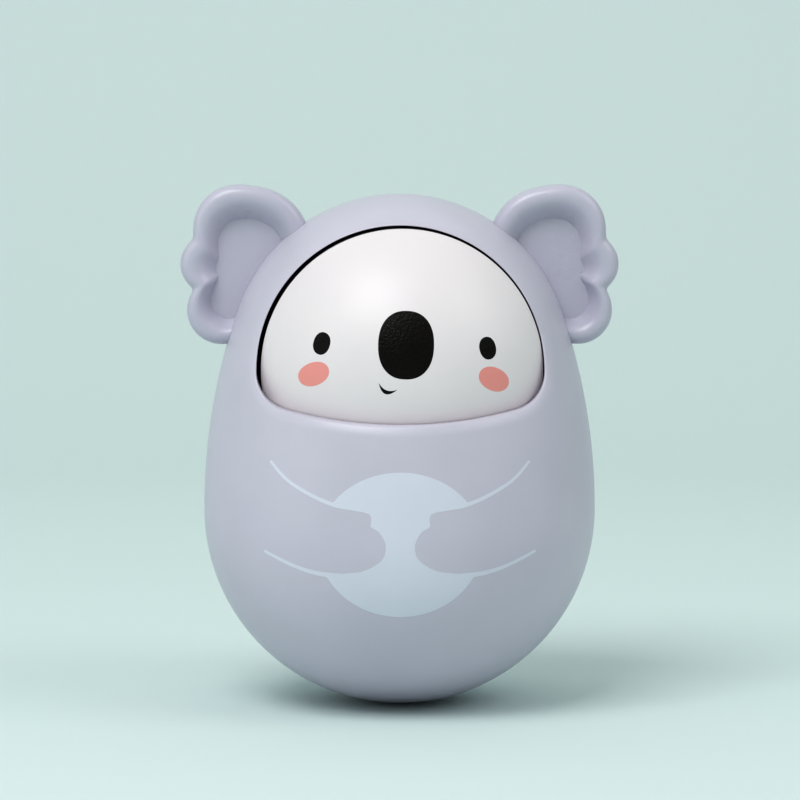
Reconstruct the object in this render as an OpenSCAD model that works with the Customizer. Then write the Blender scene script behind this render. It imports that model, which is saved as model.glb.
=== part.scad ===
// Roly poly koala: an egg-shaped rocking toy with a weighted round base, a white face that rolls
// on an axle behind an arched window, a pair of scalloped ears, and a chime inside.
// The origin is the point that it stands on, +Z is up, and the face looks along -Y.

/* [Body] */
// Radius of the round base that the toy rocks on
base_r = 45; // [43:0.5:50]
// Height of the egg-shaped body
body_h = 117.36; // [114:0.5:122]
// Radius of the round crown
crown_r = 39.24; // [38:0.02:41]
// Thickness of the shell walls
wall = 2.4; // [2:0.1:3]
// Depth of the lip that lines up the two shells
lip_depth = 2; // [1.5:0.1:3]
// Clearance between moulded pieces that are fitted together
fit_gap = 0.15; // [0.1:0.05:0.25]
// Clearance of a pressed pin or a screw in its hole
pin_gap = 0.03; // [0.01:0.01:0.05]
// Clearance of a piece that turns or swings past another
run_gap = 0.3; // [0.2:0.05:0.5]

/* [Window] */
// Radius of the arch over the face
arch_r = 32.3; // [31.5:0.1:33]
// Height of the hood over the arch
hood_h = 6.46; // [5:0.02:8]
// How far the middle of the sill lies below the centre of the arch
sill_drop = 10.7; // [9:0.1:13]
// Radius of the sagging curve of the sill
sill_r = 130; // [110:1:150]
// Rounding where the arch meets the sill
corner_r = 8; // [6:0.5:10]
// Width of the soft roll of the skin towards the window
rim_w = 2.6; // [2:0.1:3.5]
// How far the skin drops over that roll
rim_drop = 0.7; // [0.4:0.1:1]
// Rounding of the window's very edge
rim_edge = 0.5; // [0.3:0.1:0.8]
// Thickness of the return that stiffens the window's edge
return_t = 1.8; // [1.2:0.1:2.4]
// Depth of the return behind the outer skin
return_depth = 5; // [3.5:0.5:7]

/* [Face] */
// Gap between the edge of the face and the arch
face_gap = 0.8; // [0.6:0.05:1]
// How far the face hangs below the centre of the arch
face_drop = 0.1; // [0:0.05:0.3]
// Rise of the domed face from its edge to its front
face_rise = 19.2; // [18:0.1:20]
// Thickness of the face shell
face_wall = 2; // [1.6:0.1:2.4]
// Length of the round skirt behind the edge of the face
skirt_len = 18.5; // [18:0.1:21]
// Thickness of the plate that closes the back of the face
plate_t = 2.4; // [2:0.1:3]
// Roll of the face to each side, in degrees
face_roll = 35; // [20:1:45]
// Thickness of the steel weight in the chin
weight_t = 6.5; // [4:0.5:9]

/* [Axle] */
// Radius of the steel axle
axle_r = 2.5; // [2:0.1:3]
// Running clearance of the bushes on the axle
bush_gap = 0.05; // [0.02:0.01:0.1]
// Length of axle held in the rear shell's boss
axle_hold = 26; // [18:1:30]
// Reach of the hub in front of the face plate
hub_reach = 14; // [10:1:16]

/* [Ears] */
// Overall height of an ear
ear_size = 36.4; // [32:0.2:40]
// Thickness of an ear from back to rim
ear_t = 9; // [7:0.5:11]
// How far an ear's centre stands out from the side of the body
ear_out = 3.8; // [2:0.2:5]
// How far an ear's centre lies below the crown of the body
ear_drop = 17.5; // [15:0.5:20]
// Rounding of the ear's rim
ear_edge_r = 2.4; // [1.5:0.1:3]
// Depth of the bowl of the ear
ear_bowl = 4; // [2.5:0.5:4.5]
// Mean width of the slope from the rim to the bowl
ear_slope = 4.3; // [2.5:0.1:5]
// Width of the tab that holds the ear
tab_w = 12; // [9:0.5:14]
// Thickness of the tab that holds the ear
tab_t = 3.6; // [2.5:0.1:3.8]

/* [Chime] */
// Height of the top of the iron ballast
ballast_top = 16; // [14:0.5:18]
// Thickness of the chime's base disc
chime_base_t = 2.6; // [2:0.2:3]
// Number of chime rods
rod_count = 6; // [4:1:6]
// Radius of a chime rod
rod_r = 1.5; // [1:0.1:1.8]
// Radius of the ring of chime rods
rod_ring_r = 14.6; // [14.4:0.1:15.5]
// Room between the longest rod and the bridge
rod_room = 2.2; // [1.2:0.1:5]
// Step in length from rod to rod
rod_step = 1.2; // [0.5:0.1:1.5]
// Room between the bridge that carries the clapper and the face
bridge_room = 3.8; // [3.3:0.1:4.3]
// Radius of the clapper ball
clapper_r = 6; // [5:0.1:6.2]
// Drop from the bridge to the centre of the clapper ball
clapper_drop = 15.8; // [15:0.1:16.5]

/* [Screws] */
// Sideways place of the lower pair of shell screws
low_screw_x = 27; // [26:0.5:29]
// Height of the lower pair of shell screws
low_screw_z = 24; // [23:0.5:26]
// Sideways place of the upper pair of shell screws
high_screw_x = 33; // [31:0.5:35]
// Height of the upper pair of shell screws
high_screw_z = 54; // [52:0.5:58]
// Radius of a shell screw's shank
screw_r = 1.3; // [1:0.05:1.5]
// Radius of a shell screw's head
screw_head_r = 2.5; // [2.2:0.1:2.8]
// Length of a shell screw under its head
screw_len = 14; // [11:0.5:18]

/* [Hidden] */
$fn = 96;
// Overrun of every cut past the surface that it cuts
overrun = 1;

// The egg: a round base, a long flank and a round crown, each tangent to the next
crown_z = body_h - crown_r;
crown_rise = crown_z - base_r;
flank_r = (pow(crown_rise, 2) + pow(base_r, 2) - pow(crown_r, 2)) / (2 * (base_r - crown_r));
flank_axis = flank_r - base_r;
meet_angle = atan2(crown_rise, flank_axis);
mask_x = 2 * base_r;

// Window outline: arch, sill and the two corner rounds between them
arch_z = body_h - hood_h - arch_r;
sill_centre_z = arch_z - sill_drop + sill_r;
arch_to_sill = sill_centre_z - arch_z;
corner_lift = (pow(arch_r - corner_r, 2) - pow(sill_r - corner_r, 2) + pow(arch_to_sill, 2))
    / (2 * arch_to_sill);
corner_x = sqrt(pow(arch_r - corner_r, 2) - pow(corner_lift, 2));
corner_z = arch_z + corner_lift;
arch_end = atan2(corner_lift, corner_x);
sill_end = atan2(corner_z - sill_centre_z, corner_x);
arch_steps = 48;
corner_steps = 6;
sill_steps = 12;
// Steps across the soft roll beside the window
rim_shares = [0.2, 0.42, 0.65];

// Face: a dome on a round skirt, set so that its front lies in the line of the body
face_r = arch_r - face_gap;
face_z = arch_z - face_drop;
face_y = face_rise - egg_radius(face_z);
dome_r = (pow(face_r, 2) + pow(face_rise, 2)) / (2 * face_rise);
spigot_r = face_r - face_wall - fit_gap;
spigot_h = 2;

// Hub, bushes and axle, measured forwards from the edge of the dome
bush_wall = 1.7;
bush_r = axle_r + bush_wall;
bush_shoulder = 1;
bush_flange_r = bush_r + bush_shoulder;
bush_flange_t = 1.2;
bush_len = 6;
hub_wall = 2.2;
hub_r = bush_r + hub_wall;
hub_tail = 1.5;
plate_back = -skirt_len - plate_t;
hub_back = plate_back - hub_tail;
hub_front = hub_reach - skirt_len;
boss_front = hub_back - bush_flange_t - run_gap;
axle_front = hub_front + bush_flange_t + run_gap;
axle_back = boss_front - axle_hold;
boss_wall = 2.6;
boss_r = axle_r + boss_wall;
washer_r = 5.4;
washer_t = 1;
axle_screw_r = 1.2;
axle_screw_len = 8;
axle_screw_head_r = 2.4;
axle_screw_head_h = 1.8;
boss_rib_t = 1.8;
boss_rib_reach = 14;

// Stop: a finger on the boss flange that runs in a curved slot of the face plate
stop_ring_r = 12;
stop_r = 1.4;
stop_flange_t = 2;
stop_flange_r = stop_ring_r + 2 * stop_r;
stop_len = plate_back - boss_front + plate_t;
stop_slot_w = 2 * (stop_r + run_gap);
stop_half_angle = face_roll + asin((stop_r + run_gap) / stop_ring_r);

// Small screws of the face
face_post_count = 3;
face_post_r = 2.8;
face_post_inset = 4.3;
face_post_ring = spigot_r - face_post_inset - face_post_r;
small_screw_r = 1;
small_screw_head_r = 1.9;
small_screw_head_h = 1.4;
small_screw_len = 9;
weight_hub_gap = 6;
weight_inset = 3;
weight_inner_r = hub_r + weight_hub_gap;
weight_outer_r = spigot_r - weight_inset;
weight_half_angle = 33;
weight_screw_ring = (weight_inner_r + weight_outer_r) / 2;
weight_screw_angle = 18;
weight_screw_len = plate_t + weight_t - 2 * fit_gap;

// Screw towers of the two shells
tower_seat = 5;
tower_wall = 1.5;
tower_r = screw_head_r + fit_gap + tower_wall;
post_r = 3.4;
screw_head_h = 2;
screw_slack = 0.3;
// Cross recess of every screw, as a share of its head
screw_recess_share = 0.6;
tower_places = [
    [low_screw_x, low_screw_z], [-low_screw_x, low_screw_z],
    [high_screw_x, high_screw_z], [-high_screw_x, high_screw_z]
];

// Ears: lobes as shares of the ear's height, [outwards, upwards, radius]
ear_lobe_shares = [
    [-0.082, 0.163, 0.353], [0.027, 0.270, 0.258], [0.195, 0.040, 0.176], [0.121, -0.249, 0.212]
];
// Rounding of the notches between the lobes
ear_notch_share = 0.035;
// Lean of the slope: wider under the top of the rim, narrower above the bottom
ear_slope_lean_share = 0.35;
ear_steps = 60;
ear_bowl_shares = [0.2, 0.4, 0.6, 0.8, 1];
ear_turns = [0, 30, 60, 90];
ear_z = body_h - ear_drop;
ear_x = egg_radius(ear_z) + ear_out;
// Each ear is held by a tab with a wider head behind the wall
tab_angle = atan2(ear_z - crown_z, ear_x);
tab_shoulder = 2;
tab_head_w = tab_w + 2 * tab_shoulder;
tab_head_t = 1.8;
tab_bite = 3;

// Ballast, chime and clapper
ballast_r = base_r - wall - fit_gap;
// The front of the ballast is cut flat, so that the toy stands upright with its face on
ballast_flat_y = 18.4;
ledge_reach = 3.5;
ledge_t = 2;
ledge_half_angle = 65;
ledge_r = sqrt(pow(ballast_r, 2) - pow(base_r - ballast_top, 2)) - ledge_reach;
chime_base_r = ledge_r - fit_gap;
chime_top = ballast_top + chime_base_t;
chime_screw_count = 3;
chime_screw_r = 1.3;
chime_screw_head_r = 2.4;
chime_screw_head_h = 1.6;
chime_screw_bite = 4.5;
chime_screw_len = chime_base_t + chime_screw_bite;
chime_screw_ring = (rod_ring_r + rod_r + chime_base_r) / 2;
bridge_r = 1.2;
bridge_z = face_z - face_r - bridge_room - bridge_r;
rod_len = bridge_z - bridge_r - rod_room - chime_top;
bridge_gap = 2.2;
bridge_x = rod_ring_r + rod_r + bridge_gap + bridge_r;
bridge_bend_r = 4;
ring_wire_r = 0.7;
ring_r = 2.9;
eye_r = 2.3;
link_gap = 0.08;
ring_drop = ring_r - ring_wire_r - bridge_r - link_gap;
ring_z = bridge_z - ring_drop;
link_z = ring_z - ring_r;
eye_z = link_z + 2 * ring_wire_r + link_gap - eye_r;
stem_r = 0.9;
clapper_z = bridge_z - clapper_drop;

function egg_radius(z, inset = 0) =
    z < base_r ? sqrt(pow(base_r - inset, 2) - pow(z - base_r, 2))
    : z < base_r + (flank_r - inset) * sin(meet_angle)
        ? sqrt(pow(flank_r - inset, 2) - pow(z - base_r, 2)) - flank_axis
        : sqrt(pow(crown_r - inset, 2) - pow(z - crown_z, 2));

function skin_depth(x, z) = sqrt(pow(egg_radius(z), 2) - pow(x, 2));

// Arc of points about a centre, without its last point
function arc(centre, r, from, to, steps) = [
    for (i = [0 : steps - 1])
        let (a = from + (to - from) * i / steps)
        centre + r * [cos(a), sin(a)]
];

function window_outline(grow) = concat(
    arc([0, arch_z], arch_r + grow, arch_end, 180 - arch_end, arch_steps),
    arc([-corner_x, corner_z], corner_r + grow, 180 - arch_end, 180 - sill_end, corner_steps),
    arc([0, sill_centre_z], sill_r + grow, 180 - sill_end, 360 + sill_end, sill_steps),
    arc([corner_x, corner_z], corner_r + grow, 360 + sill_end, 360 + arch_end, corner_steps)
);

// Faces of a solid that is skinned over rings of points, listed from the back to the front
function ring_faces(points, rings) = concat(
    [[for (i = [0 : points - 1]) i]],
    [
        for (j = [0 : rings - 2], i = [0 : points - 1])
            let (a = j * points + i, b = j * points + (i + 1) % points)
            each [[a, a + points, b + points], [a, b + points, b]]
    ],
    [[for (i = [points - 1 : -1 : 0]) (rings - 1) * points + i]]
);

module skin_rings(rings) {
    polyhedron(
        points = [for (ring = rings) each ring],
        faces = ring_faces(len(rings[0]), len(rings))
    );
}

// Half outline of the egg, set in from the outer skin
module egg_half(inset) {
    intersection() {
        translate([0, base_r]) circle(r = base_r - inset);
        square([mask_x, base_r]);
    }
    intersection() {
        translate([-flank_axis, base_r]) circle(r = flank_r - inset);
        polygon([
            [0, base_r], [mask_x, base_r],
            [mask_x, crown_z + mask_x * tan(meet_angle)], [0, crown_z]
        ]);
    }
    intersection() {
        translate([0, crown_z]) circle(r = crown_r - inset);
        polygon([
            [0, crown_z], [mask_x, crown_z + mask_x * tan(meet_angle)],
            [mask_x, crown_z + mask_x], [0, crown_z + mask_x]
        ]);
    }
}

module egg(inset) {
    rotate_extrude() egg_half(inset);
}

// Everything with y between two planes
module slab(from, to) {
    translate([-mask_x, from, -overrun]) cube([2 * mask_x, to - from, body_h + 2 * overrun]);
}

// Cylinder along Y
module rod_y(x, z, from, to, r) {
    translate([x, from, z]) rotate([-90, 0, 0]) cylinder(h = to - from, r = r);
}

// Frame of the face: its Z runs forwards from the edge of the dome, its Y runs up
module face_frame() {
    translate([0, face_y, face_z]) rotate([90, 0, 0]) children();
}

// Frame of an ear tab: its X runs outwards through the shell
module tab_frame() {
    translate([0, 0, crown_z]) rotate([0, -tab_angle, 0]) children();
}

// Screw along Z with its head above the plane z = 0
module screw(shank_r, shank_len, head_r, head_h) {
    recess = [2 * head_r, head_r / 3, head_h] * screw_recess_share;
    difference() {
        union() {
            translate([0, 0, -shank_len]) cylinder(h = shank_len + head_h / 2, r = shank_r);
            cylinder(h = head_h, r = head_r);
        }
        for (turn = [0, 90])
            rotate(turn)
                translate([-recess.x / 2, -recess.y / 2, head_h - recess.z])
                    cube(recess + [0, 0, overrun]);
    }
}

module window_cut() {
    rims = concat(
        [[0, rim_drop + rim_edge]],
        [for (s = rim_shares) [rim_w * s, rim_drop * pow(1 - s, 2)]]
    );
    last = rims[len(rims) - 1];
    skin_rings(concat(
        [[for (p = window_outline(0)) [p.x, -lip_depth - overrun, p.y]]],
        [for (rim = rims) [for (p = window_outline(rim.x)) [p.x, rim.y - skin_depth(p.x, p.y), p.y]]],
        [[for (p = window_outline(last.x)) [p.x, -base_r - overrun, p.y]]]
    ));
}

module ledge() {
    intersection() {
        rotate(90 - ledge_half_angle)
            rotate_extrude(angle = 2 * ledge_half_angle)
                translate([ledge_r, ballast_top + fit_gap]) square([base_r, ledge_t]);
        egg(wall / 2);
    }
}

module front_shell() color("#c9c9d8") {
    difference() {
        union() {
            difference() {
                egg(0);
                egg(wall);
                slab(0, mask_x);
                intersection() {
                    egg(wall / 2);
                    slab(-lip_depth - fit_gap, overrun);
                }
            }
            // Return behind the window's edge
            difference() {
                intersection() {
                    rotate([90, 0, 0]) linear_extrude(base_r) polygon(window_outline(return_t));
                    egg(wall / 2);
                }
                egg(return_depth);
            }
            intersection() {
                for (p = tower_places) rod_y(p.x, p.y, -base_r, -fit_gap, post_r);
                egg(wall / 2);
            }
            rotate(180) ledge();
        }
        window_cut();
        // Room for the face
        face_frame() rotate_extrude() face_half(-run_gap, overrun);
        for (p = tower_places)
            rod_y(p.x, p.y, tower_seat - screw_len - overrun, overrun, screw_r + pin_gap);
    }
}

module rear_shell() color("#c9c9d8") {
    boss_y = face_y - boss_front;
    difference() {
        union() {
            difference() {
                union() {
                    intersection() {
                        egg(0);
                        slab(0, mask_x);
                    }
                    intersection() {
                        egg(wall / 2 + fit_gap);
                        slab(-lip_depth, overrun);
                    }
                }
                egg(wall);
            }
            intersection() {
                union() {
                    for (p = tower_places) rod_y(p.x, p.y, fit_gap, base_r, tower_r);
                    rod_y(0, face_z, boss_y, base_r, boss_r);
                    for (turn = [0 : 90 : 270])
                        translate([0, 0, face_z]) rotate([0, turn, 0])
                            linear_extrude(boss_rib_t, center = true)
                                polygon([
                                    [0, boss_y + stop_flange_t], [boss_rib_reach, base_r], [0, base_r]
                                ]);
                }
                egg(wall / 2);
            }
            rod_y(0, face_z, boss_y, boss_y + stop_flange_t, stop_flange_r);
            rod_y(0, face_z + stop_ring_r, boss_y - stop_len, boss_y + stop_flange_t / 2, stop_r);
            ledge();
        }
        for (p = tower_places) {
            rod_y(p.x, p.y, tower_seat, base_r, screw_head_r + fit_gap);
            rod_y(p.x, p.y, -overrun, tower_seat + overrun, screw_r + screw_slack);
        }
        rod_y(0, face_z, boss_y - overrun, face_y - axle_back, axle_r + pin_gap);
        // Notches for the ear tabs
        for (side = [0, 1])
            mirror([side, 0, 0])
                tab_frame()
                    translate([crown_r - 2 * wall, -lip_depth - overrun, -tab_w / 2 - fit_gap])
                        cube([3 * wall, lip_depth + overrun + tab_t + 2 * fit_gap, tab_w + 2 * fit_gap]);
    }
}

function lobe_reach(lobe, a) =
    let (along = lobe.x * cos(a) + lobe.y * sin(a), across = lobe.x * sin(a) - lobe.y * cos(a))
    along + sqrt(max(0, pow(lobe.z, 2) - pow(across, 2)));

function soft_max(a, b) = (a + b + sqrt(pow(a - b, 2) + pow(ear_notch_share, 2))) / 2;

function ear_reach(a) =
    let (reach = [for (lobe = ear_lobe_shares) lobe_reach(lobe, a)])
    ear_size * soft_max(soft_max(soft_max(reach[0], reach[1]), reach[2]), reach[3]);

// Ring of the ear at an inset from its outline, and part of the way down the slope
function ear_ring(inset, y, down_share) = [
    for (i = [0 : ear_steps - 1])
        let (
            a = 360 * i / ear_steps,
            slope = ear_slope * (1 + ear_slope_lean_share * sin(a)),
            r = ear_reach(a) - inset - slope * down_share
        )
        [ear_x + r * cos(a), y, ear_z + r * sin(a)]
];

module ear_dish() {
    half_t = ear_t / 2;
    skin_rings(concat(
        [for (t = ear_turns) ear_ring(ear_edge_r * (1 - sin(t)), half_t - ear_edge_r * (1 - cos(t)), 0)],
        [for (t = ear_turns) ear_ring(ear_edge_r * (1 - cos(t)), ear_edge_r * (1 - sin(t)) - half_t, 0)],
        [for (s = ear_bowl_shares) ear_ring(ear_edge_r, ear_bowl * (1 - cos(90 * s)) - half_t, s)]
    ));
}

module ear() {
    head_in = crown_r - wall - fit_gap - tab_head_t;
    difference() {
        ear_dish();
        egg(-fit_gap);
    }
    tab_frame()
        translate([head_in + tab_head_t / 2, fit_gap, -tab_w / 2])
            cube([crown_r + tab_bite - head_in - tab_head_t / 2, tab_t, tab_w]);
    intersection() {
        tab_frame()
            translate([head_in - tab_head_t, fit_gap, -tab_head_w / 2])
                cube([2 * tab_head_t + wall, tab_t, tab_head_w]);
        difference() {
            egg(wall + fit_gap);
            egg(wall + fit_gap + tab_head_t);
        }
    }
}

module right_ear() color("#c4c5d3") ear();

module left_ear() color("#c4c5d3") mirror([1, 0, 0]) ear();

module shell_screws() color("silver") {
    for (p = tower_places)
        translate([p.x, tower_seat, p.y]) rotate([-90, 0, 0])
            screw(screw_r, screw_len, screw_head_r, screw_head_h);
}

module face_axle() color("silver") {
    face_frame()
        difference() {
            translate([0, 0, axle_back]) cylinder(h = axle_front - axle_back, r = axle_r);
            translate([0, 0, axle_front - axle_screw_len - overrun])
                cylinder(h = axle_screw_len + 2 * overrun, r = axle_screw_r + pin_gap);
        }
}

module axle_washer() color("gainsboro") {
    face_frame()
        translate([0, 0, axle_front])
            difference() {
                cylinder(h = washer_t, r = washer_r);
                translate([0, 0, -overrun])
                    cylinder(h = washer_t + 2 * overrun, r = axle_screw_r + fit_gap);
            }
}

module axle_screw() color("silver") {
    face_frame()
        translate([0, 0, axle_front + washer_t])
            screw(axle_screw_r, axle_screw_len, axle_screw_head_r, axle_screw_head_h);
}

module face_post_places() {
    for (i = [0 : face_post_count - 1])
        rotate(90 + 360 * i / face_post_count) translate([face_post_ring, 0, 0]) children();
}

module weight_screw_places() {
    for (side = [-1, 1])
        rotate(270 + side * weight_screw_angle) translate([weight_screw_ring, 0, 0]) children();
}

// Half outline of the face, set in from its outer skin and run on behind its back
module face_half(inset, run_on = 0) {
    intersection() {
        translate([0, face_rise - dome_r]) circle(r = dome_r - inset);
        translate([0, -skirt_len - run_on])
            square([face_r - inset, skirt_len + run_on + face_rise + overrun]);
    }
}

module face_shell() color("white") {
    face_frame()
        difference() {
            union() {
                rotate_extrude()
                    difference() {
                        face_half(0);
                        face_half(face_wall, overrun);
                    }
                intersection() {
                    face_post_places()
                        translate([0, 0, spigot_h + fit_gap - skirt_len])
                            cylinder(h = skirt_len + face_rise, r = face_post_r);
                    rotate_extrude() face_half(face_wall / 2);
                }
            }
            face_post_places()
                translate([0, 0, -skirt_len])
                    cylinder(h = small_screw_len, r = small_screw_r + pin_gap);
        }
}

module face_plate() color("white") {
    face_frame()
        difference() {
            union() {
                translate([0, 0, plate_back]) cylinder(h = plate_t, r = face_r);
                translate([0, 0, plate_back + plate_t / 2])
                    cylinder(h = plate_t / 2 + spigot_h, r = spigot_r);
                translate([0, 0, hub_back]) cylinder(h = hub_front - hub_back, r = hub_r);
            }
            translate([0, 0, hub_back - overrun])
                cylinder(h = hub_front - hub_back + 2 * overrun, r = bush_r + pin_gap);
            rotate(90 - stop_half_angle)
                rotate_extrude(angle = 2 * stop_half_angle)
                    translate([stop_ring_r - stop_slot_w / 2, plate_back - overrun])
                        square([stop_slot_w, plate_t + spigot_h + 2 * overrun]);
            face_post_places()
                translate([0, 0, plate_back - overrun])
                    cylinder(h = plate_t + spigot_h + 2 * overrun, r = small_screw_r + fit_gap);
            weight_screw_places()
                translate([0, 0, plate_back - overrun])
                    cylinder(h = plate_t + spigot_h + 2 * overrun, r = small_screw_r + fit_gap);
        }
}

module hub_bush() {
    difference() {
        union() {
            cylinder(h = bush_len, r = bush_r);
            translate([0, 0, -bush_flange_t]) cylinder(h = bush_flange_t, r = bush_flange_r);
        }
        translate([0, 0, -bush_flange_t - overrun])
            cylinder(h = bush_len + bush_flange_t + 2 * overrun, r = axle_r + bush_gap);
    }
}

module hub_bushes() color("ivory") {
    face_frame() {
        translate([0, 0, hub_back]) hub_bush();
        translate([0, 0, hub_front]) rotate([180, 0, 0]) hub_bush();
    }
}

module face_weight() color("dimgray") {
    face_frame()
        difference() {
            rotate(270 - weight_half_angle)
                rotate_extrude(angle = 2 * weight_half_angle)
                    translate([weight_inner_r, spigot_h - skirt_len])
                        square([weight_outer_r - weight_inner_r, weight_t]);
            weight_screw_places()
                translate([0, 0, -skirt_len])
                    cylinder(h = weight_screw_len + fit_gap - plate_t, r = small_screw_r + pin_gap);
        }
}

module face_weight_screws() color("silver") {
    face_frame()
        weight_screw_places()
            translate([0, 0, plate_back]) rotate([180, 0, 0])
                screw(small_screw_r, weight_screw_len, small_screw_head_r, small_screw_head_h);
}

module face_screws() color("silver") {
    face_frame()
        face_post_places()
            translate([0, 0, plate_back]) rotate([180, 0, 0])
                screw(small_screw_r, small_screw_len, small_screw_head_r, small_screw_head_h);
}

module chime_screw_places() {
    for (i = [0 : chime_screw_count - 1])
        rotate(90 + 360 * i / chime_screw_count) translate([chime_screw_ring, 0, 0]) children();
}

module ballast() color("#55555a") {
    difference() {
        intersection() {
            translate([0, 0, base_r]) sphere(ballast_r);
            translate([-base_r, -ballast_flat_y, 0]) cube([2 * base_r, 2 * base_r, ballast_top]);
        }
        chime_screw_places()
            translate([0, 0, chime_top - chime_screw_len - overrun])
                cylinder(h = chime_screw_len + overrun, r = chime_screw_r + pin_gap);
    }
}

module chime_base() color("beige") {
    translate([0, 0, ballast_top])
        difference() {
            cylinder(h = chime_base_t, r = chime_base_r);
            chime_screw_places()
                translate([0, 0, -overrun])
                    cylinder(h = chime_base_t + 2 * overrun, r = chime_screw_r + fit_gap);
            for (i = [0 : rod_count - 1])
                rotate(360 * i / rod_count) translate([rod_ring_r, 0, -overrun])
                    cylinder(h = chime_base_t + 2 * overrun, r = rod_r + pin_gap);
            for (side = [-1, 1])
                translate([side * bridge_x, 0, -overrun])
                    cylinder(h = chime_base_t + 2 * overrun, r = bridge_r + pin_gap);
        }
}

module chime_screws() color("silver") {
    chime_screw_places()
        translate([0, 0, chime_top])
            screw(chime_screw_r, chime_screw_len, chime_screw_head_r, chime_screw_head_h);
}

module chime_rods() color("gainsboro") {
    for (i = [0 : rod_count - 1])
        rotate(360 * i / rod_count) translate([rod_ring_r, 0, ballast_top])
            cylinder(h = chime_base_t + rod_len - i * rod_step, r = rod_r);
}

module chime_bridge() color("silver") {
    bend_x = bridge_x - bridge_bend_r;
    translate([-bend_x, 0, bridge_z]) rotate([0, 90, 0]) cylinder(h = 2 * bend_x, r = bridge_r);
    for (side = [0, 1])
        mirror([side, 0, 0]) {
            translate([bend_x, 0, bridge_z - bridge_bend_r])
                rotate([90, 0, 0])
                    rotate_extrude(angle = 90) translate([bridge_bend_r, 0]) circle(r = bridge_r);
            translate([bridge_x, 0, ballast_top])
                cylinder(h = bridge_z - bridge_bend_r - ballast_top, r = bridge_r);
        }
}

module clapper_ring() color("gainsboro") {
    translate([0, 0, ring_z]) rotate([0, 90, 0])
        rotate_extrude() translate([ring_r, 0]) circle(r = ring_wire_r);
}

module clapper_stem() color("gainsboro") {
    translate([0, 0, eye_z]) rotate([90, 0, 0])
        rotate_extrude() translate([eye_r, 0]) circle(r = ring_wire_r);
    translate([0, 0, clapper_z - clapper_r / 2])
        cylinder(h = eye_z - eye_r - clapper_z + clapper_r / 2, r = stem_r);
}

module clapper_ball() color("peru") {
    difference() {
        translate([0, 0, clapper_z]) sphere(clapper_r);
        translate([0, 0, clapper_z - clapper_r / 2])
            cylinder(h = 2 * clapper_r, r = stem_r + pin_gap);
    }
}

front_shell();
rear_shell();
left_ear();
right_ear();
shell_screws();
face_axle();
axle_washer();
axle_screw();
ballast();
chime_base();
chime_screws();
chime_rods();
chime_bridge();
face_shell();
face_plate();
hub_bushes();
face_weight();
face_weight_screws();
face_screws();
clapper_ring();
clapper_stem();
clapper_ball();
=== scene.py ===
"""Roly poly koala, dressed over its solids. Metres, +Z up, the face looks along -Y."""

from math import asin, atan2, ceil, cos, hypot, pi, radians, sin, sqrt

import bmesh
import bpy
from mathutils import Matrix, Vector


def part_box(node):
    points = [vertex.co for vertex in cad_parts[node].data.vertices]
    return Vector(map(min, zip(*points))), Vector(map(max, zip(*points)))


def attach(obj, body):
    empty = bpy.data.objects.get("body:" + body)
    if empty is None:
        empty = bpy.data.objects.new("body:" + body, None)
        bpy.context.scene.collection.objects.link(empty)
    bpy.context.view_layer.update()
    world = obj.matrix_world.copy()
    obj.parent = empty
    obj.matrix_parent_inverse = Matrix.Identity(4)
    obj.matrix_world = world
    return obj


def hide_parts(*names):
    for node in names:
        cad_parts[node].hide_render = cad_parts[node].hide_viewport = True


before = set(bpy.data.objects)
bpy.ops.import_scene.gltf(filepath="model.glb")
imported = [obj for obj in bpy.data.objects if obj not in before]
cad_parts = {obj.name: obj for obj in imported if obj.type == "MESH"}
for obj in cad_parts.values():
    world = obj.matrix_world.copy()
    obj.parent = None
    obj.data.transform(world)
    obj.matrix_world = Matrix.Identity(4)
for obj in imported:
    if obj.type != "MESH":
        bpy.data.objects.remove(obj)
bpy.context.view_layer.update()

# Rear shell: the back half of the egg-shaped body, moulded in lilac-grey ABS with a satin finish.
# It is 2.4 mm thick, and four deep wells let the screws in that pull it against the front half.
shell_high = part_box("rear_shell")[1]
base_r = shell_high.x
body_h = shell_high.z
crown_r = 0.03924
crown_z = body_h - crown_r
crown_rise = crown_z - base_r
flank_r = (crown_rise**2 + base_r**2 - crown_r**2) / (2 * (base_r - crown_r))
flank_axis = flank_r - base_r
meet_angle = atan2(crown_rise, flank_axis)
wall = 0.0024
seam_round = 0.0002
egg_arc_steps = (44, 28, 32)
egg_round_steps = 120
tool_arc_steps = (40, 24, 28)
tool_round_steps = 160
weld_gap = 1e-7
well_r = 0.00265
well_floor_y = 0.005
well_places = [(0.027, 0.024), (0.033, 0.054)]
tower_r = 0.00415
lilac = (0.572, 0.553, 0.635)
lilac_shade = (0.550, 0.532, 0.613)
roughness_play = 0.03


def egg_outline(inset=0.0, steps_per_arc=egg_arc_steps):
    """Half outline of the egg from the floor to the crown, as pairs of radius and height."""
    arcs = (
        (0.0, base_r, base_r, -pi / 2, 0.0),
        (-flank_axis, base_r, flank_r, 0.0, meet_angle),
        (0.0, crown_z, crown_r, meet_angle, pi / 2),
    )
    points = [(0.0, inset)]
    for (x, z, r, start, end), steps in zip(arcs, steps_per_arc):
        for i in range(1, steps + 1):
            turn = start + (end - start) * i / steps
            points.append((max(0.0, x + (r - inset) * cos(turn)), z + (r - inset) * sin(turn)))
    return points


def spun(outline, turn, steps):
    """A mesh of an outline turned about the Z axis, starting in the XZ plane."""
    bm = bmesh.new()
    chain = [bm.verts.new((r, 0.0, z)) for r, z in outline]
    edges = [bm.edges.new(pair) for pair in zip(chain, chain[1:])]
    bmesh.ops.spin(
        bm, geom=chain + edges, cent=(0, 0, 0), axis=(0, 0, 1), dvec=(0, 0, 0),
        angle=turn, steps=steps, use_merge=turn >= 2 * pi,
    )
    bmesh.ops.remove_doubles(bm, verts=bm.verts, dist=weld_gap)
    bmesh.ops.recalc_face_normals(bm, faces=bm.faces)
    return bm


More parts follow.
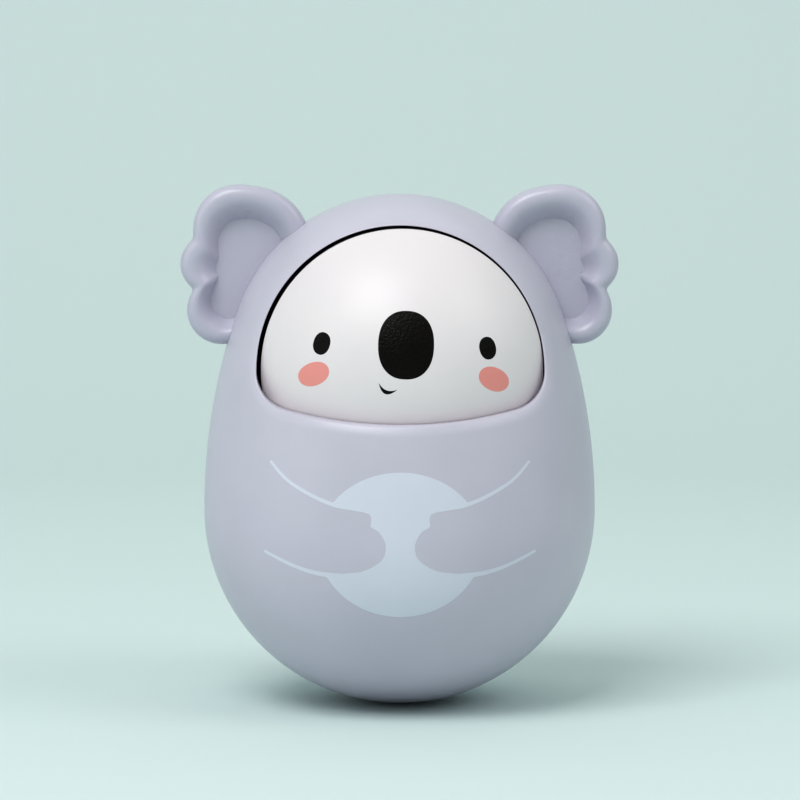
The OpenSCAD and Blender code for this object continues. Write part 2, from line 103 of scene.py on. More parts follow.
def egg_solid(grow):
    """The whole egg as one solid, a little larger or smaller, to trim other pieces with."""
    return spun(egg_outline(-grow, tool_arc_steps), 2 * pi, tool_round_steps)


def as_object(bm, name):
    """An object in the scene that holds the mesh."""
    mesh = bpy.data.meshes.new(name)
    bm.to_mesh(mesh)
    bm.free()
    obj = bpy.data.objects.new(name, mesh)
    bpy.context.scene.collection.objects.link(obj)
    return obj


def rod_along_y(x, z, start, end, r):
    """A round bar along Y."""
    bm = bmesh.new()
    turn = Matrix.Rotation(-pi / 2, 4, "X")
    place = Matrix.Translation((x, (start + end) / 2, z)) @ turn
    bmesh.ops.create_cone(
        bm, cap_ends=True, segments=48, radius1=r, radius2=r, depth=end - start, matrix=place
    )
    return bm


def carve(obj, bm, operation):
    """Join a mesh to an object or cut it away."""
    tool = as_object(bm, "tool")
    step = obj.modifiers.new(operation.lower(), "BOOLEAN")
    step.operation = operation
    step.solver = "EXACT"
    step.object = tool
    settle(obj)
    bpy.data.meshes.remove(tool.data)


def settle(obj):
    """Turn an object's modifiers into plain mesh."""
    depsgraph = bpy.context.evaluated_depsgraph_get()
    mesh = bpy.data.meshes.new_from_object(obj.evaluated_get(depsgraph))
    old = obj.data
    obj.modifiers.clear()
    obj.data = mesh
    mesh.name = obj.name
    bpy.data.meshes.remove(old)


def smooth(obj, sharp_degrees=38):
    """Smooth shading, with creases kept sharp."""
    obj.data.shade_smooth()
    obj.data.set_sharp_from_angle(angle=radians(sharp_degrees))


def moulded_plastic(name, colour, shade, roughness, peel_strength=0.06):
    """Moulded plastic: a fine orange peel, a faint flow mottle and a little change of gloss."""
    material = bpy.data.materials.new(name)
    material.use_nodes = True
    nodes = material.node_tree.nodes
    link = material.node_tree.links.new
    shader = nodes["Principled BSDF"]
    place = nodes.new("ShaderNodeTexCoord")
    mottle = nodes.new("ShaderNodeTexNoise")
    mottle.inputs["Scale"].default_value = 45
    mottle.inputs["Detail"].default_value = 3
    tint = nodes.new("ShaderNodeValToRGB")
    tint.color_ramp.elements[0].position = 0.35
    tint.color_ramp.elements[0].color = (*shade, 1)
    tint.color_ramp.elements[1].position = 0.65
    tint.color_ramp.elements[1].color = (*colour, 1)
    peel = nodes.new("ShaderNodeTexNoise")
    peel.inputs["Scale"].default_value = 2200
    peel.inputs["Detail"].default_value = 2
    rough = nodes.new("ShaderNodeMapRange")
    rough.inputs["To Min"].default_value = roughness - roughness_play
    rough.inputs["To Max"].default_value = roughness + roughness_play
    bump = nodes.new("ShaderNodeBump")
    bump.inputs["Strength"].default_value = peel_strength
    bump.inputs["Distance"].default_value = 0.0002
    link(place.outputs["Object"], mottle.inputs["Vector"])
    link(place.outputs["Object"], peel.inputs["Vector"])
    link(mottle.outputs["Fac"], tint.inputs["Fac"])
    link(tint.outputs["Color"], shader.inputs["Base Color"])
    link(mottle.outputs["Fac"], rough.inputs["Value"])
    link(rough.outputs["Result"], shader.inputs["Roughness"])
    link(peel.outputs["Fac"], bump.inputs["Height"])
    link(bump.outputs["Normal"], shader.inputs["Normal"])
    return material


shell_plastic = moulded_plastic("shell_plastic", lilac, lilac_shade, roughness=0.36)

rear_shell = as_object(spun(egg_outline(), pi, egg_round_steps), "rear_moulding")
thick = rear_shell.modifiers.new("wall", "SOLIDIFY")
thick.thickness = wall
thick.offset = -1
thick.use_even_offset = True
edge = rear_shell.modifiers.new("seam edge", "BEVEL")
edge.width = seam_round
edge.segments = 3
edge.limit_method = "ANGLE"
edge.angle_limit = radians(60)
settle(rear_shell)
for x, z in well_places:
    for side in (-1, 1):
        tower = as_object(rod_along_y(side * x, z, seam_round, base_r, tower_r), "tower")
        carve(tower, egg_solid(-wall / 2), "INTERSECT")
        tower_mesh = bmesh.new()
        tower_mesh.from_mesh(tower.data)
        bpy.data.meshes.remove(tower.data)
        carve(rear_shell, tower_mesh, "UNION")
        carve(rear_shell, rod_along_y(side * x, z, well_floor_y, base_r, well_r), "DIFFERENCE")
smooth(rear_shell)
rear_shell.data.materials.clear()
rear_shell.data.materials.append(shell_plastic)
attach(rear_shell, "body")
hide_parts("rear_shell")


# Ballast: a cast iron weight in the round base, left rough from the sand and cut flat at the front.
# It keeps the toy's weight low, so that it always rocks back upright.
iron = (0.060, 0.058, 0.062)
metal_play_share = 0.3


def dress(node, material):
    """Give a solid of the frame its material."""
    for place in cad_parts[node].material_slots:
        place.material = material


def worn_metal(name, colour, roughness, grain_scale, stretch, depth):
    """Bare metal: a stretched grain, which changes its gloss and lies in its surface to a depth."""
    material = bpy.data.materials.new(name)
    material.use_nodes = True
    nodes = material.node_tree.nodes
    link = material.node_tree.links.new
    shader = nodes["Principled BSDF"]
    shader.inputs["Metallic"].default_value = 1
    shader.inputs["Base Color"].default_value = (*colour, 1)
    place = nodes.new("ShaderNodeTexCoord")
    grain_way = nodes.new("ShaderNodeMapping")
    grain_way.inputs["Scale"].default_value = stretch
    streaks = nodes.new("ShaderNodeTexNoise")
    streaks.inputs["Scale"].default_value = grain_scale
    streaks.inputs["Detail"].default_value = 5
    rough = nodes.new("ShaderNodeMapRange")
    rough.inputs["To Min"].default_value = roughness * (1 - metal_play_share)
    rough.inputs["To Max"].default_value = roughness * (1 + metal_play_share)
    bump = nodes.new("ShaderNodeBump")
    bump.inputs["Strength"].default_value = 0.4
    bump.inputs["Distance"].default_value = depth
    link(place.outputs["Object"], grain_way.inputs["Vector"])
    link(grain_way.outputs["Vector"], streaks.inputs["Vector"])
    link(streaks.outputs["Fac"], rough.inputs["Value"])
    link(rough.outputs["Result"], shader.inputs["Roughness"])
    link(streaks.outputs["Fac"], bump.inputs["Height"])
    link(bump.outputs["Normal"], shader.inputs["Normal"])
    return material


ballast_iron = worn_metal(
    "ballast_iron", iron, roughness=0.65, grain_scale=900, stretch=(1, 1, 1), depth=0.0003
)
dress("ballast", ballast_iron)

# Chime: six tuned steel rods and a bent wire bridge, pressed into a disc of ivory ABS.
# Three zinc-plated screws hold the disc down on the ballast.
ivory = (0.78, 0.74, 0.62)
ivory_shade = (0.75, 0.71, 0.59)
steel = (0.62, 0.62, 0.63)
zinc = (0.68, 0.67, 0.64)

bright_steel = worn_metal(
    "bright_steel", steel, roughness=0.16, grain_scale=700, stretch=(1, 1, 0.04), depth=0.00002
)
screw_steel = worn_metal(
    "screw_steel", zinc, roughness=0.30, grain_scale=1500, stretch=(1, 1, 1), depth=0.00003
)
dress("chime_base", moulded_plastic("inner_plastic", ivory, ivory_shade, roughness=0.45))
dress("chime_rods", bright_steel)
dress("chime_bridge", bright_steel)
dress("chime_screws", screw_steel)

# Clapper: a hard plastic ball on a wire stem, hung by a loose ring from the bridge.
# It strikes the rods as the toy rocks.
amber = (0.52, 0.30, 0.12)
amber_shade = (0.47, 0.26, 0.10)

clapper_plastic = moulded_plastic(
    "clapper_plastic", amber, amber_shade, roughness=0.25, peel_strength=0.03
)
dress("clapper_ring", bright_steel)
dress("clapper_stem", bright_steel)
dress("clapper_ball", clapper_plastic)

# Axle: a ground steel pin, pressed into a boss of the rear shell, with a washer and screw at its front.
# Two bushes of natural acetal run on it and carry the face.
acetal = (0.80, 0.79, 0.74)
acetal_shade = (0.77, 0.76, 0.71)

ground_steel = worn_metal(
    "ground_steel", steel, roughness=0.12, grain_scale=900, stretch=(1, 0.05, 1), depth=0.00001
)
bush_plastic = moulded_plastic("bush_plastic", acetal, acetal_shade, roughness=0.35, peel_strength=0.03)
dress("face_axle", ground_steel)
dress("axle_washer", bright_steel)
dress("axle_screw", screw_steel)
dress("hub_bushes", bush_plastic)

# Face plate: white ABS, screwed to the back of the face, with a curved slot for the stop.
# A sawn steel weight at its foot brings the face upright.
white = (0.76, 0.715, 0.735)
white_shade = (0.747, 0.702, 0.722)
dull_steel = (0.30, 0.30, 0.31)

face_plastic = moulded_plastic("face_plastic", white, white_shade, roughness=0.42, peel_strength=0.05)
weight_steel = worn_metal(
    "weight_steel", dull_steel, roughness=0.42, grain_scale=600, stretch=(0.1, 1, 1), depth=0.00008
)
dress("face_plate", face_plastic)
dress("face_weight", weight_steel)
dress("face_weight_screws", screw_steel)
dress("face_screws", screw_steel)

# Face: a white dome of ABS on a round skirt, a little more matt than the body.
# It fills the arch and hangs a hair to the right, so the dark gap round it is wider on the left.
face_low, face_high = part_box("face_shell")
face_r = 0.03172
face_z = (face_low.z + face_high.z) / 2
face_rise = 0.0192
face_wall = 0.002
face_aside = 0.00037
face_edge_r = 0.0007
dome_steps = 80
edge_steps = 6
face_round_steps = 192
dome_r = (face_r**2 + face_rise**2) / (2 * face_rise)
dome_y = face_low.y + dome_r


def face_outline(inset, edge_r):
    """Outline of the face from its front to the back of its skirt, as pairs of radius and depth."""
    side = face_r - inset - edge_r
    reach = dome_r - inset
    end = asin(side / (reach - edge_r))
    turns = [end * i / dome_steps for i in range(dome_steps + 1)]
    points = [(reach * sin(t), dome_y - reach * cos(t)) for t in turns]
    edge_y = dome_y - (reach - edge_r) * cos(end)
    turns = [end + (pi / 2 - end) * i / edge_steps for i in range(1, edge_steps + 1)]
    points += [(side + edge_r * sin(t), edge_y - edge_r * cos(t)) for t in turns]
    return points + [(side + edge_r, face_high.y)]


face_outer = face_outline(0, face_edge_r)
face_inner = face_outline(face_wall, face_edge_r / 2)
dome = spun(face_outer + face_inner[::-1], 2 * pi, face_round_steps)
to_face = Matrix.Translation((face_aside, 0, face_z)) @ Matrix.Rotation(-pi / 2, 4, "X")
bmesh.ops.transform(dome, matrix=to_face, verts=dome.verts)
face = as_object(dome, "face_dome")
smooth(face)
face.data.materials.append(face_plastic)
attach(face, "face")
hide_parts("face_shell")

# Face print: pad-printed eyes, nose, cheeks and a small smile, each a thin film of ink on the dome.
# The print sits a little to the right and is turned a little clockwise.
print_aside = 0.00028
print_turn = radians(-1.7)
ink_cell = 0.0012
ink_lift = 0.00003
ink_t = 0.00006
blob_points = 72
nose_x, nose_z = 0.00024, 0.00697
nose_half_w, nose_half_h = 0.00613, 0.00744
nose_squareness = 2.3
smile_start, smile_end = (-0.00549, -0.00153), (-0.00147, -0.00285)
smile_low_sag, smile_high_sag = 0.00173, 0.0009
eye_x, eye_z = 0.01836, 0.0065
eye_half_w, eye_half_h = 0.00182, 0.0025
eye_lean = radians(16)
eye_squareness = 2.15
cheek_x, cheek_z = 0.01997, -0.00036
cheek_half_w, cheek_half_h = 0.0036, 0.0025
cheek_lean = radians(-27)
cheek_squareness = 2.1
black = (0.0075, 0.006, 0.0055)
pink = (0.80, 0.345, 0.315)
pink_shade = (0.78, 0.330, 0.300)


def dome_front(x, z):
    """Depth of the dome at a place seen from the front."""
    return dome_y - sqrt(max(0.0, dome_r**2 - (x - face_aside) ** 2 - (z - face_z) ** 2))


def round_blob(x, z, half_w, half_h, lean, squareness):
    """A squarish ellipse about a place, leaning to the left by an angle."""
    points = []
    for i in range(blob_points):
        turn = 2 * pi * i / blob_points
        u, v = cos(turn), sin(turn)
        size = (abs(u) ** squareness + abs(v) ** squareness) ** (-1 / squareness)
        u, v = half_w * u * size, half_h * v * size
        points.append((x + u * cos(lean) - v * sin(lean), z + u * sin(lean) + v * cos(lean)))
    return points


def bowed(start, end, sag, steps=24):
    """An arc from one place to another that sags to the right of the way."""
    (x0, z0), (x1, z1) = start, end
    dx, dz = x1 - x0, z1 - z0
    places = []
    for i in range(steps + 1):
        s = i / steps
        out = 4 * sag * s * (1 - s) / hypot(dx, dz)
        places.append((x0 + dx * s + dz * out, z0 + dz * s - dx * out))
    return places


def on_face(outline):
    """An outline of the print, moved to its place on the face."""
    c, s = cos(print_turn), sin(print_turn)
    places = []
    for x, z in outline:
        across = x + print_aside
        places.append((face_aside + across * c - z * s, face_z + across * s + z * c))
    return places


def printed(name, outline, front, body, ink):
    """A film of ink: an outline seen from the front, cut into cells and laid on the curved plastic."""
    bm = bmesh.new()
    bm.faces.new([bm.verts.new((x, 0, z)) for x, z in outline])
    for axis in (0, 2):
        places = [v.co[axis] for v in bm.verts]
        low, high = min(places), max(places)
        cells = ceil((high - low) / ink_cell)
        for i in range(1, cells):
            cut, normal = Vector(), Vector()
            cut[axis] = low + (high - low) * i / cells
            normal[axis] = 1
            bmesh.ops.bisect_plane(
                bm, geom=[*bm.verts, *bm.edges, *bm.faces],
                dist=weld_gap, plane_co=cut, plane_no=normal,
            )
    for vert in bm.verts:
        vert.co.y = front(vert.co.x, vert.co.z) - ink_lift
    film = as_object(bm, name)
    thick = film.modifiers.new("film", "SOLIDIFY")
    thick.thickness = ink_t
    thick.offset = -1
    settle(film)
    smooth(film)
    film.data.materials.append(ink)
    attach(film, body)


black_ink = moulded_plastic("black_ink", black, black, roughness=0.26, peel_strength=0.9)
black_ink.node_tree.nodes["Principled BSDF"].inputs["Specular IOR Level"].default_value = 0.2
pink_ink = moulded_plastic("pink_ink", pink, pink_shade, roughness=0.40)
nose_shape = round_blob(nose_x, nose_z, nose_half_w, nose_half_h, 0, nose_squareness)
printed("nose_print", on_face(nose_shape), dome_front, "face", black_ink)
smile_low = bowed(smile_start, smile_end, smile_low_sag)
smile_high = bowed(smile_start, smile_end, smile_high_sag)
smile_shape = smile_low + smile_high[-2:0:-1]
printed("smile_print", on_face(smile_shape), dome_front, "face", black_ink)
for name, side in (("left", -1), ("right", 1)):
    eye_shape = round_blob(side * eye_x, eye_z, eye_half_w, eye_half_h, side * eye_lean, eye_squareness)
    printed(f"{name}_eye_print", on_face(eye_shape), dome_front, "face", black_ink)
    cheek_shape = round_blob(
        side * cheek_x, cheek_z, cheek_half_w, cheek_half_h, side * cheek_lean, cheek_squareness
    )
    printed(f"{name}_cheek_print", on_face(cheek_shape), dome_front, "face", pink_ink)

# Front shell: the front half of the body in the same plastic, with an arched window for the face.
# The skin rolls softly down to the window's edge, which runs back as a return that stiffens it.
arch_r = 0.0323
arch_z = 0.0786
sill_z = 0.0679
sill_r = 0.13
corner_r = 0.008
rim_w = 0.0026
rim_drop = 0.0007
rim_edge = 0.0005
rim_edge_turns = (0, 18, 36, 54, 72, 90)
rim_roll_shares = (0.3, 0.42, 0.55, 0.68, 0.8, 0.9)
return_t = 0.0018
return_depth = 0.005
window_points = 256
face_room = 0.0003
seam_turns = (30, 60, 90)
seam_drift_share = 0.07
skin_rings = 56
skin_halvings = 40
egg_heart = Vector((0, 0, 0.055))

sill_centre_z = sill_z + sill_r
arch_to_sill = sill_centre_z - arch_z
arch_reach = arch_r - corner_r
sill_reach = sill_r - corner_r
corner_lift = (arch_reach**2 - sill_reach**2 + arch_to_sill**2) / (2 * arch_to_sill)
corner_x = sqrt(arch_reach**2 - corner_lift**2)
corner_z = arch_z + corner_lift
arch_end = atan2(corner_lift, corner_x)
sill_end = atan2(corner_z - sill_centre_z, corner_x)


def along_arcs(arcs, share):
    """The point part of the way along a chain of arcs, each (x, z, radius, start, end)."""
    lengths = [abs(r * (end - start)) for x, z, r, start, end in arcs]
    left = share * sum(lengths)
    for (x, z, r, start, end), length in zip(arcs, lengths):
        if left <= length:
            turn = start + (end - start) * left / length
            return x + r * cos(turn), z + r * sin(turn)
        left -= length
    return x + r * cos(end), z + r * sin(end)


def window_outline(grow):
    """The window seen from the front, from the top of the arch round by the left."""
    arcs = (
        (0, arch_z, arch_r + grow, pi / 2, pi - arch_end),
        (-corner_x, corner_z, corner_r + grow, pi - arch_end, pi - sill_end),
        (0, sill_centre_z, sill_r + grow, pi - sill_end, 2 * pi + sill_end),
        (corner_x, corner_z, corner_r + grow, sill_end, arch_end),
        (0, arch_z, arch_r + grow, arch_end, pi / 2),
    )
    return [along_arcs(arcs, i / window_points) for i in range(window_points)]


def seam_outline():
    """The egg's own outline, matched point by point to the window."""
    left = (
        (0, crown_z, crown_r, pi / 2, pi - meet_angle),
        (flank_axis, base_r, flank_r, pi - meet_angle, pi),
        (0, base_r, base_r, pi, 3 * pi / 2),
    )
    points = []
    for i in range(window_points):
        share = 2 * i / window_points
        side = 1
        if share > 1:
            share = 2 - share
            side = -1
        x, z = along_arcs(left, share - seam_drift_share * sin(pi * share))
        points.append((side * x, z))
    return points


def egg_radius(z, inset=0.0):
    """Radius of the egg at a height."""
    if z < base_r:
        return sqrt(max(0.0, (base_r - inset) ** 2 - (z - base_r) ** 2))
    if z < base_r + (flank_r - inset) * sin(meet_angle):
        return sqrt((flank_r - inset) ** 2 - (z - base_r) ** 2) - flank_axis
    return sqrt(max(0.0, (crown_r - inset) ** 2 - (z - crown_z) ** 2))


def skin_y(x, z, inset=0.0):
    """The front skin at a place seen from the front."""
    return -sqrt(max(0.0, egg_radius(z, inset) ** 2 - x**2))


def on_skin(direction, inset=0.0):
    """The point of the skin that lies in a direction from the heart of the egg."""
    near, far = 0.0, body_h
    for _ in range(skin_halvings):
        middle = (near + far) / 2
        p = egg_heart + direction * middle
        inside = inset < p.z < body_h - inset and p.x**2 + p.y**2 < egg_radius(p.z, inset) ** 2
        near, far = (middle, far) if inside else (near, middle)
    return egg_heart + direction * near


def loft(rings):
    """A mesh skinned over closed rings of points."""
    bm = bmesh.new()
    count = len(rings[0])
    bmesh.ops.create_circle(bm, segments=count, radius=1)
    bm.verts.ensure_lookup_table()
    ring = list(bm.verts)
    for vert, place in zip(ring, rings[0]):
        vert.co = place
    for places in rings[1:]:
        edges = [bm.edges.get(pair) for pair in zip(ring, ring[1:] + ring[:1])]
        made = bmesh.ops.extrude_edge_only(bm, edges=edges)["geom"]
        fresh = {item for item in made if isinstance(item, bmesh.types.BMVert)}
        ring = [next(e.other_vert(v) for e in v.link_edges if e.other_vert(v) in fresh) for v in ring]
        for vert, place in zip(ring, places):
            vert.co = place
    return bm


def room_behind(x, z):
    """How far back the window's wall may run before it meets the face."""
    out = hypot(x - face_aside, z - face_z)
    if out > face_r + face_room:
        return 0.0
    return dome_y - sqrt((dome_r + face_room) ** 2 - out**2)


def window_wall(grow):
    """A ring at the back of the window's return, clear of the face."""
    return [
        Vector((x, min(skin_y(x, z, return_depth), room_behind(x, z)), z))
        for x, z in window_outline(grow)
    ]


def skin_between(inner, outer, inset):
    """Rings over the skin from the window to the seam."""
    starts = [(p - egg_heart).normalized() for p in inner]
    ends = [(p - egg_heart).normalized() for p in outer]
    rings = []
    for i in range(1, skin_rings + 1):
        share = i / skin_rings
        rings.append([on_skin(a.slerp(b, share), inset) for a, b in zip(starts, ends)])
    return rings


outer_edge = [Vector((x, skin_y(x, z), z)) for x, z in window_outline(rim_w)]
inner_edge = [Vector((x, skin_y(x, z, wall), z)) for x, z in window_outline(return_t)]
seam = seam_outline()
seam_outer = [Vector((x, -seam_round, z)) for x, z in seam]
inward = [(egg_heart - p).normalized() for p in seam_outer]
seam_inner = [p + d * wall for p, d in zip(seam_outer, inward)]
rim_profile = []
for turn in rim_edge_turns:
    grow = rim_edge * (1 - cos(radians(turn)))
    rim_profile.append((grow, rim_drop * (1 - grow / rim_w) ** 2 + rim_edge * (1 - sin(radians(turn)))))
for share in rim_roll_shares:
    rim_profile.append((rim_w * share, rim_drop * (1 - share) ** 2))
rim_rings = []
for grow, back in rim_profile:
    rim_rings.append([Vector((x, skin_y(x, z) + back, z)) for x, z in window_outline(grow)])
outer_skin = skin_between(outer_edge, seam_outer, 0.0)
inner_skin = skin_between(inner_edge, seam_inner, wall)
seam_edge = [
    [p + Vector((0, seam_round * sin(radians(t)), 0)) + d * seam_round * (1 - cos(radians(t)))
     for p, d in zip(seam_outer, inward)]
    for t in seam_turns
]
seam_face = [Vector((p.x, 0, p.z)) for p in inner_skin[-1]]
front_rings = (
    [window_wall(0)] + rim_rings + [outer_edge] + outer_skin + seam_edge
    + [seam_face] + inner_skin[::-1] + [inner_edge, window_wall(return_t), window_wall(0)]
)
front_mesh = loft(front_rings)
bmesh.ops.remove_doubles(front_mesh, verts=front_mesh.verts, dist=weld_gap)
bmesh.ops.recalc_face_normals(front_mesh, faces=front_mesh.faces)
front_shell = as_object(front_mesh, "front_moulding")
smooth(front_shell)
front_shell.data.materials.append(shell_plastic)
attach(front_shell, "body")
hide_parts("front_shell")

# Body print: a pale tummy with a paw on each side, printed on the front shell in one light ink.
# The arms are left in the body's own colour, and a fine tapering line follows each of their edges.
tummy_x, tummy_z = -0.0002, 0.04155
tummy_w, tummy_h = 0.0181, 0.01625
tummy_turns = (144.1, 208.2)
tummy_steps = 24
arm_top = [
    (-0.0290, 0.0591), (-0.0253, 0.0552), (-0.0200, 0.0521),
    (-0.0147, 0.0500), (-0.0109, 0.0494), (-0.0081, 0.0490),
]
arm_cuff = [(-0.0068, 0.0486), (-0.0064, 0.0476), (-0.0066, 0.0459)]
paw = [
    (-0.0061, 0.0455), (-0.0045, 0.0444), (-0.0032, 0.0416),
    (-0.0041, 0.0384), (-0.0080, 0.0359), (-0.0129, 0.0351),
]
arm_bottom = [(-0.0187, 0.0355), (-0.0240, 0.0369), (-0.0301, 0.0394)]
line_widths = (0.0006, 0.0011)
pale = (0.66, 0.68, 0.765)
pale_shade = (0.64, 0.66, 0.745)


def curve_through(points, steps=8):
    """A smooth curve through points, with its first and last points as its ends."""
    ends = [points[0], *points, points[-1]]
    places = []
    for p0, p1, p2, p3 in zip(ends, ends[1:], ends[2:], ends[3:]):
        for i in range(steps):
            s = i / steps
            places.append(tuple(
                b + s * (c - a) / 2
                + s**2 * (a - 2.5 * b + 2 * c - d / 2)
                + s**3 * (1.5 * (b - c) + (d - a) / 2)
                for a, b, c, d in zip(p0, p1, p2, p3)
            ))
    return places + [points[-1]]


def beside(curve, near, far):
    """A curve to the right of another, near to it at its start and further away at its end."""
    places = []
    for i, (x, z) in enumerate(curve):
        (x0, z0), (x1, z1) = curve[max(i - 1, 0)], curve[min(i + 1, len(curve) - 1)]
        dx, dz = x1 - x0, z1 - z0
        gap = near + (far - near) * i / (len(curve) - 1)
        places.append((x + gap * dz / hypot(dx, dz), z - gap * dx / hypot(dx, dz)))
    return places


def tummy_edge(start, end):
    """Part of the edge of the tummy, by angles in degrees."""
    turns = [radians(start + (end - start) * i / tummy_steps) for i in range(tummy_steps + 1)]
    return [(tummy_w * cos(t), tummy_z + tummy_h * sin(t)) for t in turns]


def inside_tummy(x, z):
    """Whether a place lies inside the tummy's ellipse."""
    return (x / tummy_w) ** 2 + ((z - tummy_z) / tummy_h) ** 2 < 1


top_edge = curve_through(arm_top)
bottom_edge = curve_through([paw[-1], *arm_bottom])[::-1]
top_line = [p for p in beside(top_edge, -line_widths[0], -line_widths[1]) if not inside_tummy(*p)]
bottom_line = [p for p in beside(bottom_edge, line_widths[0], line_widths[1]) if not inside_tummy(*p)]
left_half = (
    tummy_edge(90, tummy_turns[0]) + top_line[::-1] + top_edge + curve_through(arm_cuff)
    + curve_through(paw)[:-1] + bottom_edge[::-1] + bottom_line + tummy_edge(tummy_turns[1], 270)
)
right_half = [(-x, z) for x, z in left_half[::-1]]
tummy_shape = [(tummy_x + x, z) for x, z in left_half + right_half[1:-1]]
pale_ink = moulded_plastic("pale_ink", pale, pale_shade, roughness=0.40)
printed("tummy_print", tummy_shape, skin_y, "body", pale_ink)

# Ears: scalloped dishes of ABS, a shade darker and glossier than the body, held by a tab in the seam.
# The rim is a soft bead, and the slope down to the flat floor is widest at the top and the outside.
# Four lobes make the outline that shows, and a fifth fills the side that the body hides.
ear_low, ear_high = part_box("right_ear")
ear_size = 0.0364
ear_t = ear_high.y - ear_low.y
ear_x = 0.0365
ear_z = 0.09986
ear_edge_r = 0.0024
ear_bowl = 0.004
ear_slope = 0.0056
ear_slope_lean_shares = (0.23, 0.30)
ear_slope_steps = 16
ear_crease_degrees = 24
ear_points = 240
ear_lobe_shares = [
    (-0.082, 0.163, 0.353), (0.027, 0.270, 0.258), (0.195, 0.040, 0.176), (0.121, -0.249, 0.212),
    (-0.100, -0.080, 0.260)
]
ear_notch_shares = (0.035, 0.11)
seat_gap = 0.00002
ear_lilac = (0.525, 0.512, 0.600)
ear_shade = (0.503, 0.491, 0.578)

ear_plastic = moulded_plastic("ear_plastic", ear_lilac, ear_shade, roughness=0.28)


def ear_reach(turn, down_share):
    """How far the ear's outline lies from its centre in a direction, softer further down the slope."""
    notch = ear_notch_shares[0] + (ear_notch_shares[1] - ear_notch_shares[0]) * down_share
    reach = None
    for out, up, r in ear_lobe_shares:
        along = out * cos(turn) + up * sin(turn)
        across = out * sin(turn) - up * cos(turn)
        lobe = along + sqrt(max(0.0, r**2 - across**2))
        if reach is None:
            reach = lobe
        else:
            reach = (reach + lobe + sqrt((reach - lobe) ** 2 + notch**2)) / 2
    return ear_size * reach


def ear_ring(inset, y, down_share=0.0):
    """A ring of the ear, in from its outline and part of the way down the slope."""
    ring = []
    lean_out, lean_up = ear_slope_lean_shares
    for i in range(ear_points):
        turn = 2 * pi * i / ear_points
        slope = ear_slope * (1 + lean_out * cos(turn) + lean_up * sin(turn))
        r = ear_reach(turn, down_share) - inset - slope * down_share
        ring.append(Vector((ear_x + r * cos(turn), y, ear_z + r * sin(turn))))
    return ring


def ear_mesh():
    """The dish of the right ear."""
    half = ear_t / 2
    quarter = [radians(a) for a in range(0, 91, 10)]
    rings = [ear_ring(ear_edge_r * (1 - sin(t)), half - ear_edge_r * (1 - cos(t))) for t in quarter]
    rings += [ear_ring(ear_edge_r * (1 - cos(t)), ear_edge_r * (1 - sin(t)) - half) for t in quarter]
    for i in range(1, ear_slope_steps + 1):
        share = i / ear_slope_steps
        rings.append(ear_ring(ear_edge_r, ear_bowl * (1 - cos(pi / 2 * share)) - half, share))
    bm = loft(rings)
    bmesh.ops.holes_fill(bm, edges=bm.edges, sides=0)
    bmesh.ops.recalc_face_normals(bm, faces=bm.faces)
    return bm


for name, side in (("left", -1), ("right", 1)):
    bm = ear_mesh()
    if side < 0:
        bmesh.ops.transform(bm, matrix=Matrix.Diagonal((-1, 1, 1, 1)), verts=bm.verts)
        bmesh.ops.recalc_face_normals(bm, faces=bm.faces)
    ear = as_object(bm, f"{name}_ear_dish")
    carve(ear, egg_solid(seat_gap), "DIFFERENCE")
    smooth(ear, ear_crease_degrees)
    ear.data.materials.clear()
    ear.data.materials.append(ear_plastic)
    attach(ear, "body")
    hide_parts(f"{name}_ear")

# Shell screws: four self-tapping screws of zinc-plated steel.
# They go in last, deep in the wells at the back, and pull the two halves of the body together.
dress("shell_screws", screw_steel)

# Floor and backdrop: a pale sweep of paper, with a soft key light at the front left, two weak fills
# and a strip that lights the paper behind the toy.
sweep_colour = (0.655, 0.75, 0.745)
sweep_front, sweep_start, sweep_r = -3.0, 0.5, 0.6
sweep_h, sweep_half_w = 3.0, 4.0

bm = bmesh.new()
sweep_outline = [(sweep_front, 0.0), (sweep_start, 0.0)]
sweep_outline += [
    (sweep_start + sweep_r * sin(radians(a)), sweep_r * (1 - cos(radians(a)))) for a in range(6, 91, 6)
]
sweep_outline += [(sweep_start + sweep_r, sweep_h)]
chain = [bm.verts.new((-sweep_half_w, y, z)) for y, z in sweep_outline]
edges = [bm.edges.new(pair) for pair in zip(chain, chain[1:])]
made = bmesh.ops.extrude_edge_only(bm, edges=edges)["geom"]
far_side = [v for v in made if isinstance(v, bmesh.types.BMVert)]
bmesh.ops.translate(bm, vec=(2 * sweep_half_w, 0, 0), verts=far_side)
bmesh.ops.recalc_face_normals(bm, faces=bm.faces)
sweep = as_object(bm, "paper_sweep")
sweep.data.shade_smooth()
paper = bpy.data.materials.new("paper")
paper.use_nodes = True
paper.node_tree.nodes["Principled BSDF"].inputs["Base Color"].default_value = (*sweep_colour, 1)
paper.node_tree.nodes["Principled BSDF"].inputs["Roughness"].default_value = 0.9
sweep.data.materials.append(paper)


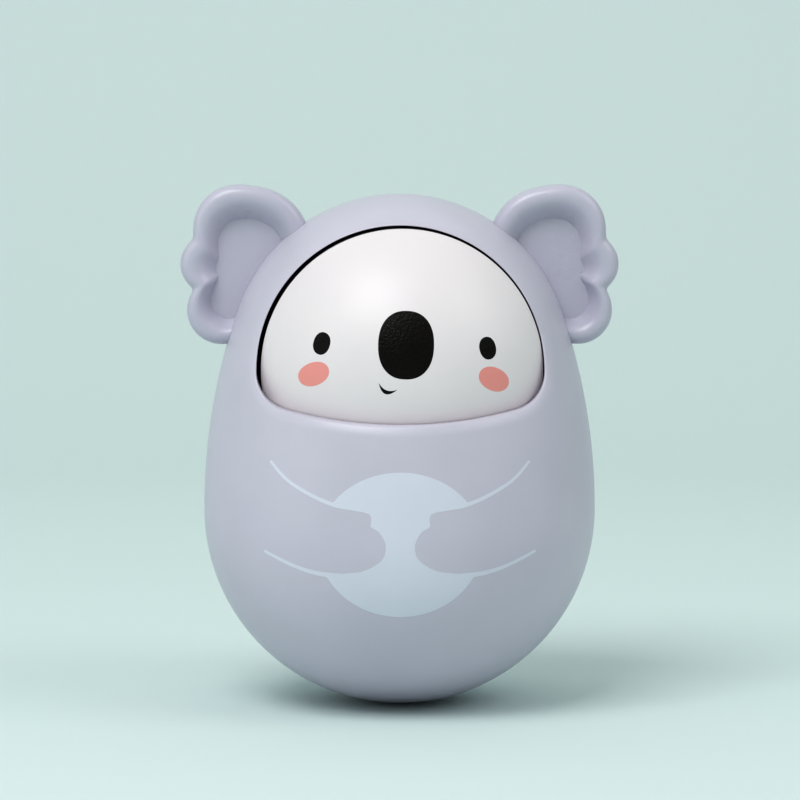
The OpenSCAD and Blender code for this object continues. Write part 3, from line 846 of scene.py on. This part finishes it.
def soft_box(name, azimuth, elevation, distance, width, height, power, target=(0, 0, 0.06)):
    """An area light that looks at a place from a direction; azimuth 0 is the front, -90 the left."""
    lamp = bpy.data.lights.new(name, "AREA")
    lamp.shape = "RECTANGLE"
    lamp.size = width
    lamp.size_y = height
    lamp.energy = power
    obj = bpy.data.objects.new(name, lamp)
    a, e = radians(azimuth), radians(elevation)
    toward = Vector((sin(a) * cos(e), -cos(a) * cos(e), sin(e)))
    obj.location = Vector(target) + toward * distance
    obj.rotation_euler = toward.to_track_quat("Z", "Y").to_euler()
    bpy.context.scene.collection.objects.link(obj)


soft_box("key", azimuth=-30, elevation=52, distance=1.3, width=0.7, height=0.7, power=6.2)
soft_box("left", azimuth=-65, elevation=20, distance=1.3, width=0.7, height=0.9, power=1.2)
soft_box("right", azimuth=65, elevation=40, distance=1.3, width=0.7, height=0.7, power=1.9)
soft_box(
    "backdrop", azimuth=0, elevation=72, distance=0.95,
    width=1.6, height=0.3, power=0.9, target=(0, 0.75, 0),
)
world = bpy.data.worlds.new("studio")
world.use_nodes = True
world.node_tree.nodes["Background"].inputs["Color"].default_value = (0.95, 1, 0.97, 1)
world.node_tree.nodes["Background"].inputs["Strength"].default_value = 0.4
bpy.context.scene.world = world
bpy.context.scene.view_settings.view_transform = "Standard"
bpy.context.scene.view_settings.look = "High Contrast"

# Camera: a long lens, just under a metre in front of the toy and a little above it.
# It stands half a degree to the left, which moves the window a hair to the right as in the photo.
camera_distance = 0.9
camera_elevation = radians(5)
camera_azimuth = radians(-0.5)
camera_aim = Vector((0.0001, 0, 0.0699))
lens = bpy.data.cameras.new("camera")
lens.sensor_width = 36
lens.lens = 175.9
camera = bpy.data.objects.new("camera", lens)
back = Vector((
    sin(camera_azimuth) * cos(camera_elevation),
    -cos(camera_azimuth) * cos(camera_elevation),
    sin(camera_elevation),
))
camera.location = camera_aim + back * camera_distance
camera.rotation_euler = back.to_track_quat("Z", "Y").to_euler()
bpy.context.scene.collection.objects.link(camera)
bpy.context.scene.camera = camera
